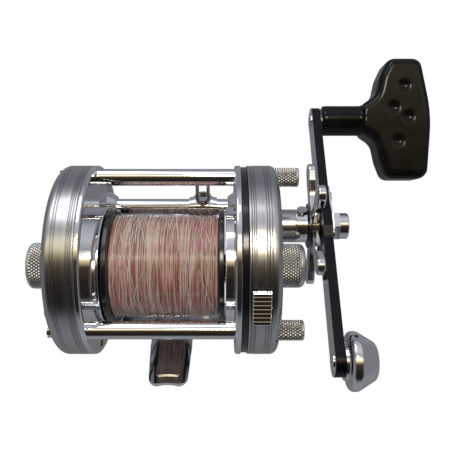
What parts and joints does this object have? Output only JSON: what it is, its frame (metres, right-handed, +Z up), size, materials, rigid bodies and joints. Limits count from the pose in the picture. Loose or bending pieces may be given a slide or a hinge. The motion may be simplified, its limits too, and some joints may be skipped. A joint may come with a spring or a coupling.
{
  "type": "level-wind reel",
  "caption": "Round level-wind multiplier reel with grooved side covers, star drag, counterweighted crank with a T grip, thumb clutch button and wound line.",
  "frame": {"origin": "centre of the underside of the foot's middle pad", "axes": "+X along the spool axis to the handle side, +Y the way the line leaves, +Z up away from the rod"},
  "size_m": [0.1515, 0.1209, 0.0803],
  "materials": {
    "chrome": "polished plate",
    "turned_aluminium": "satin turned, clear anodised",
    "steel": "ground",
    "brass": "machined",
    "black_ring": "smooth black",
    "black_anodised": "black anodised, satin",
    "black_grip": "moulded gloss black",
    "spring_steel": "dark spring steel",
    "brake_fibre": "pressed fibre",
    "line": "wound clear and pink monofilament"
  },
  "bodies": {
    "frame": {"left_frame_plate": "chrome", "right_frame_plate": "chrome", "frame_pillars": "chrome", "foot_support_bar": "chrome", "reel_foot": "chrome", "foot_rivets": "chrome", "left_side_cover": "turned_aluminium", "left_cover_screws": "chrome", "spool_bearings": "steel", "right_side_cover": "turned_aluminium", "frame_seal_ring": "black_ring", "gear_bridge_plate": "steel", "bridge_screws": "steel", "brake_ring": "steel", "bridge_posts": "steel", "worm_bushings": "brass", "levelwind_tube": "chrome", "shaft_bushing": "chrome", "oil_cap": "chrome", "pinion_bushing": "brass", "tension_shims": "brass"},
    "crank": {"drive_shaft": "steel", "levelwind_drive_gear": "brass", "ratchet_wheel": "steel", "main_gear": "brass", "drag_washers": "spring_steel", "star_washers": "spring_steel", "handle_arm": "chrome", "nut_lock_plate": "chrome", "handle_nut": "chrome", "knob_spindle": "steel", "counterweight": "chrome", "crank_screws": "chrome"},
    "star": {"star_drag_wheel": "chrome"},
    "grip": {"t_knob": "black_grip"},
    "spool": {"spool": "black_anodised", "line_winding": "line", "spool_shaft": "steel", "spool_drive_pin": "steel", "click_wheel": "brass", "brake_carrier": "black_anodised", "brake_blocks": "brake_fibre"},
    "yoke": {"clutch_yoke": "steel", "yoke_springs": "spring_steel"},
    "pinion": {"pinion": "brass"},
    "button": {"push_button": "chrome", "clutch_slide": "steel"},
    "worm": {"worm_shaft": "steel", "worm_gear": "brass"},
    "guide": {"line_guide": "chrome", "guide_pawl": "steel", "pawl_cap": "chrome"},
    "cast_cap": {"cast_control_cap": "chrome"},
    "tension_knob": {"spool_tension_knob": "chrome"},
    "click": {"click_button": "chrome", "click_pawl": "steel"},
    "thumb_top": {"thumb_screw_top": "chrome"},
    "thumb_rear": {"thumb_screw_rear": "chrome"},
    "dog": {"anti_reverse_dog": "steel"}
  },
  "joints": [
    {"name": "crank_spin", "type": "hinge", "parent": "frame", "child": "crank", "pos_m": [0.04, 0.01372, 0.03816], "axis": [1, 0, 0], "continuous": true},
    {"name": "spool_spin", "type": "hinge", "parent": "frame", "child": "spool", "pos_m": [0, -0.0017, 0.0323], "axis": [1, 0, 0], "continuous": true},
    {"name": "worm_spin", "type": "hinge", "parent": "frame", "child": "worm", "pos_m": [0, 0.02512, 0.03845], "axis": [1, 0, 0], "continuous": true},
    {"name": "clutch_shift", "type": "slide", "parent": "frame", "child": "yoke", "axis": [1, 0, 0], "range_m": [0, 0.0012]},
    {"name": "pinion_spin", "type": "hinge", "parent": "yoke", "child": "pinion", "pos_m": [0.033, -0.0017, 0.0323], "axis": [1, 0, 0], "continuous": true},
    {"name": "button_press", "type": "slide", "parent": "frame", "child": "button", "axis": [0, 0.9659, -0.2588], "range_m": [0, 0.0018]},
    {"name": "guide_travel", "type": "slide", "parent": "frame", "child": "guide", "axis": [1, 0, 0], "range_m": [-0.0242, 0.0006]},
    {"name": "star_turn", "type": "hinge", "parent": "crank", "child": "star", "pos_m": [0.053, 0.01372, 0.03816], "axis": [1, 0, 0], "range_deg": [-90, 90]},
    {"name": "grip_spin", "type": "hinge", "parent": "crank", "child": "grip", "pos_m": [0.08, 0.05897, 0.05774], "axis": [1, 0, 0], "continuous": true},
    {"name": "cast_cap_turn", "type": "hinge", "parent": "frame", "child": "cast_cap", "pos_m": [0.043, -0.0017, 0.0323], "axis": [1, 0, 0], "range_deg": [-90, 90]},
    {"name": "tension_turn", "type": "hinge", "parent": "frame", "child": "tension_knob", "pos_m": [-0.042, -0.0017, 0.0323], "axis": [1, 0, 0], "range_deg": [-90, 90]},
    {"name": "click_slide", "type": "slide", "parent": "frame", "child": "click", "axis": [0, 1, 0], "range_m": [0, 0.004]},
    {"name": "thumb_top_turn", "type": "hinge", "parent": "frame", "child": "thumb_top", "pos_m": [0.04, 0.01234, 0.06046], "axis": [1, 0, 0], "range_deg": [0, 180]},
    {"name": "thumb_rear_turn", "type": "hinge", "parent": "frame", "child": "thumb_rear", "pos_m": [0.04, -0.02876, 0.02893], "axis": [1, 0, 0], "range_deg": [0, 180]},
    {"name": "dog_lift", "type": "hinge", "parent": "frame", "child": "dog", "pos_m": [0.0303, 0.01073, 0.02856], "axis": [1, 0, 0], "range_deg": [-15, 0]}
  ],
  "couplings": [
    {"joint": "spool_spin", "follows": "crank_spin", "ratio": -4},
    {"joint": "pinion_spin", "follows": "crank_spin", "ratio": -4},
    {"joint": "worm_spin", "follows": "crank_spin", "ratio": -1.7143},
    {"joint": "clutch_shift", "follows": "button_press", "ratio": 0.6666}
  ]
}
